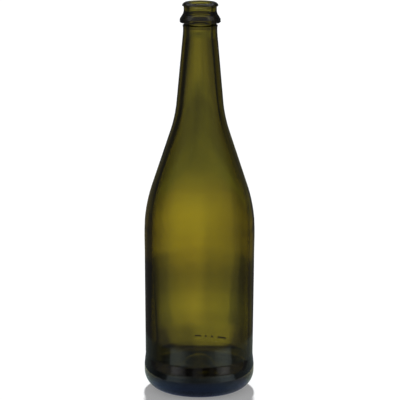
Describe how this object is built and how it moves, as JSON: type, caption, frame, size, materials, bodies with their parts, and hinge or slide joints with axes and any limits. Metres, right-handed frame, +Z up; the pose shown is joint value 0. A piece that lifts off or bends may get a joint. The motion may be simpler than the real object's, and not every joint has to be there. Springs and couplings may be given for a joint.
{
  "type": "sparkling wine bottle",
  "caption": "Tall olive green glass bottle for sparkling wine, empty and open, with a sloping shoulder, a wire ring under a crown cap lip and a punted base.",
  "frame": {"origin": "centre of the bearing ring, in the plane that the bottle stands on", "axes": "+Z up along the bottle's axis, out of the mouth; the bottle is round, and the mould's parting seams lie on +X and -X"},
  "size_m": [0.086, 0.086, 0.3058],
  "materials": {
    "glass": "clear olive green bottle glass, glossy"
  },
  "bodies": {
    "root": {"bottle": "glass"}
  },
  "joints": []
}
